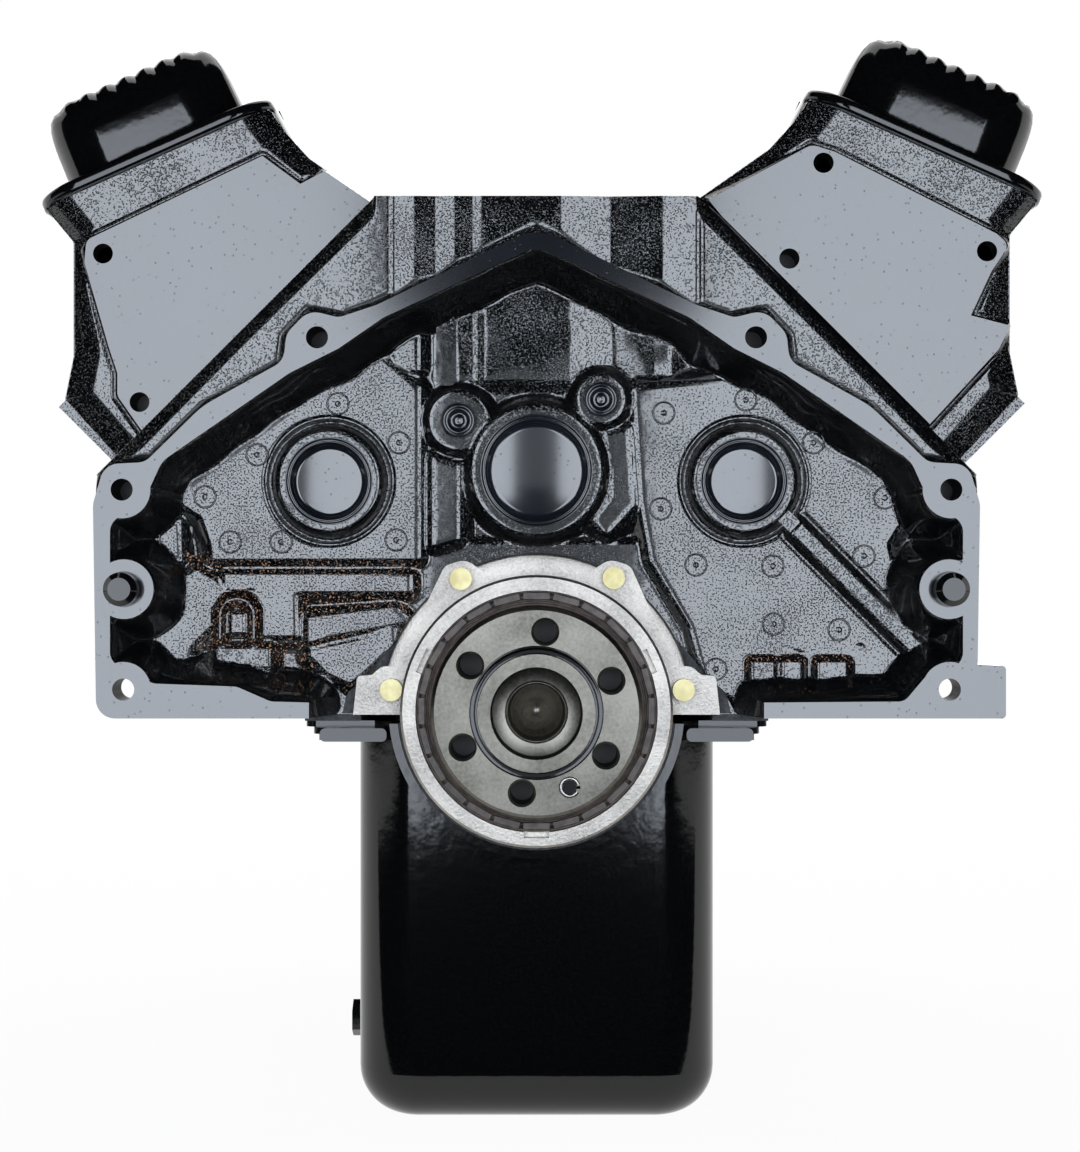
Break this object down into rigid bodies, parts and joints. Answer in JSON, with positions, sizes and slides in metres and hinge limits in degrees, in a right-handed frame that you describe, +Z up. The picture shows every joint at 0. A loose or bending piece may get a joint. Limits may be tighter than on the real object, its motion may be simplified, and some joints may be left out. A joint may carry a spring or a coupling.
{
  "type": "marine long block engine",
  "caption": "Ninety degree V6 long block with heads, valve gear, timing drive, bell-housing rim, rear seal housing and deep oil pan.",
  "frame": {"origin": "centre of the crank flange's rear face, on the crankshaft axis", "axes": "+X to starboard, +Y forward along the crankshaft from the flywheel end to the nose, +Z up along the V's centreline"},
  "size_m": [0.5022, 0.5035, 0.5316],
  "materials": {
    "cast_black": "gloss black paint over sand-cast iron",
    "pressed_black": "gloss black paint over pressed sheet steel",
    "housing_aluminium": "bare die-cast aluminium",
    "seal_rubber": "brown-grey moulded fluoroelastomer",
    "gasket_grey": "pressed fibre and rubber sheet",
    "zinc_yellow": "yellow passivated zinc on steel",
    "ground_steel": "machined and ground steel",
    "forged_steel": "forged and heat treated steel, oiled",
    "bare_iron": "bare cast iron, oiled",
    "piston_aluminium": "cast aluminium, turned",
    "bearing_shell": "tri-metal overlay",
    "plug_black": "gloss black paint over a pressed steel cup",
    "bolt_black": "gloss black paint over a steel screw",
    "valve_steel": "ground stainless valve steel",
    "spring_steel": "shot peened spring wire"
  },
  "bodies": {
    "block": {"engine_block": "cast_black", "main_bearing_caps": "bare_iron", "main_cap_bolts": "forged_steel", "main_bearings": "bearing_shell", "cam_bearings": "bearing_shell", "core_plugs": "plug_black", "cam_rear_plug": "plug_black", "oil_gallery_plugs": "plug_black", "bellhousing_dowels": "ground_steel", "rear_seal_housing": "housing_aluminium", "rear_seal_housing_gasket": "gasket_grey", "rear_seal_housing_screws": "zinc_yellow", "rear_crank_seal": "seal_rubber", "cam_thrust_plate": "forged_steel", "timing_chain": "forged_steel", "timing_cover": "pressed_black", "timing_cover_gasket": "gasket_grey", "timing_cover_bolts": "bolt_black", "front_crank_seal": "seal_rubber", "port_cylinder_head": "cast_black", "starboard_cylinder_head": "cast_black", "head_gaskets": "gasket_grey", "head_bolts": "bolt_black", "rocker_arms": "forged_steel", "rocker_studs": "ground_steel", "rocker_nuts": "forged_steel", "intake_valves": "valve_steel", "exhaust_valves": "valve_steel", "valve_springs": "spring_steel", "valve_stem_seals": "seal_rubber", "spring_retainers": "forged_steel", "pushrods": "ground_steel", "hydraulic_lifters": "ground_steel", "port_valve_cover": "pressed_black", "starboard_valve_cover": "pressed_black", "valve_cover_gaskets": "gasket_grey", "valve_cover_bolts": "bolt_black", "oil_pan": "pressed_black", "oil_pan_gasket": "gasket_grey", "oil_pan_straps": "pressed_black", "oil_pan_bolts": "bolt_black", "oil_drain_plug": "bolt_black", "oil_pump_body": "bare_iron", "oil_pump_cover": "bare_iron", "oil_pickup": "ground_steel"},
    "crank": {"crankshaft": "ground_steel", "crank_sprocket": "forged_steel", "snout_key": "forged_steel", "flywheel_dowel": "ground_steel"},
    "cam": {"camshaft": "bare_iron", "cam_sprocket": "forged_steel", "cam_sprocket_bolts": "forged_steel"},
    "piston_1_assembly": {"piston_1": "piston_aluminium"},
    "piston_2_assembly": {"piston_2": "piston_aluminium"},
    "piston_3_assembly": {"piston_3": "piston_aluminium"},
    "piston_4_assembly": {"piston_4": "piston_aluminium"},
    "piston_5_assembly": {"piston_5": "piston_aluminium"},
    "piston_6_assembly": {"piston_6": "piston_aluminium"},
    "oil_pump_drive": {"oil_pump_drive_gear": "forged_steel"},
    "oil_pump_idler": {"oil_pump_idler_gear": "forged_steel"}
  },
  "joints": [
    {"name": "crank_spin", "type": "hinge", "parent": "block", "child": "crank", "pos_m": [0, 0, 0], "axis": [0, -1, 0], "continuous": true, "deforming": ["timing_chain"]},
    {"name": "cam_spin", "type": "hinge", "parent": "block", "child": "cam", "pos_m": [0, 0, 0.1148], "axis": [0, -1, 0], "continuous": true},
    {"name": "piston_1_stroke", "type": "slide", "parent": "block", "child": "piston_1_assembly", "axis": [-0.7071, 0, 0.7071], "range_m": [-0.0884, 0]},
    {"name": "piston_2_stroke", "type": "slide", "parent": "block", "child": "piston_2_assembly", "axis": [0.7071, 0, 0.7071], "range_m": [-0.01695, 0.07145]},
    {"name": "piston_3_stroke", "type": "slide", "parent": "block", "child": "piston_3_assembly", "axis": [-0.7071, 0, 0.7071], "range_m": [-0.01695, 0.07145]},
    {"name": "piston_4_stroke", "type": "slide", "parent": "block", "child": "piston_4_assembly", "axis": [0.7071, 0, 0.7071], "range_m": [-0.0884, 0]},
    {"name": "piston_5_stroke", "type": "slide", "parent": "block", "child": "piston_5_assembly", "axis": [-0.7071, 0, 0.7071], "range_m": [-0.01695, 0.07145]},
    {"name": "piston_6_stroke", "type": "slide", "parent": "block", "child": "piston_6_assembly", "axis": [0.7071, 0, 0.7071], "range_m": [-0.01695, 0.07145]},
    {"name": "oil_pump_drive_spin", "type": "hinge", "parent": "block", "child": "oil_pump_drive", "pos_m": [-0.014, 0.062, -0.107], "axis": [0, 0, 1], "continuous": true},
    {"name": "oil_pump_idler_spin", "type": "hinge", "parent": "block", "child": "oil_pump_idler", "pos_m": [0.014, 0.062, -0.107], "axis": [0, 0, 1], "continuous": true}
  ],
  "couplings": [
    {"joint": "cam_spin", "follows": "crank_spin", "ratio": 0.5},
    {"joint": "oil_pump_idler_spin", "follows": "oil_pump_drive_spin", "ratio": -1}
  ]
}
